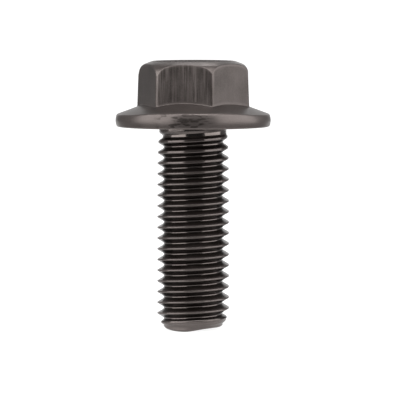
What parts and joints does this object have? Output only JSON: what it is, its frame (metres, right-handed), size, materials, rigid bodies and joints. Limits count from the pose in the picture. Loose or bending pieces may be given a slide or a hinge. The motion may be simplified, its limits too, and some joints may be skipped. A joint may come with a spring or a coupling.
{
  "type": "flange bolt",
  "caption": "Hexagon flange bolt, M10 x 1.5 by 28 mm, with a drafted hexagon head on a conical flange, fully threaded shank and chamfered point, in dark phosphated steel.",
  "frame": {"origin": "centre of the bearing face under the flange, on the bolt's axis", "axes": "+Z along the axis towards the head, shank along -Z, two corners of the hexagon on the X axis"},
  "size_m": [0.0216, 0.0216, 0.0375],
  "materials": {
    "phosphated_steel": "satin dark phosphate"
  },
  "bodies": {
    "root": {"flange_bolt": "phosphated_steel"}
  },
  "joints": []
}
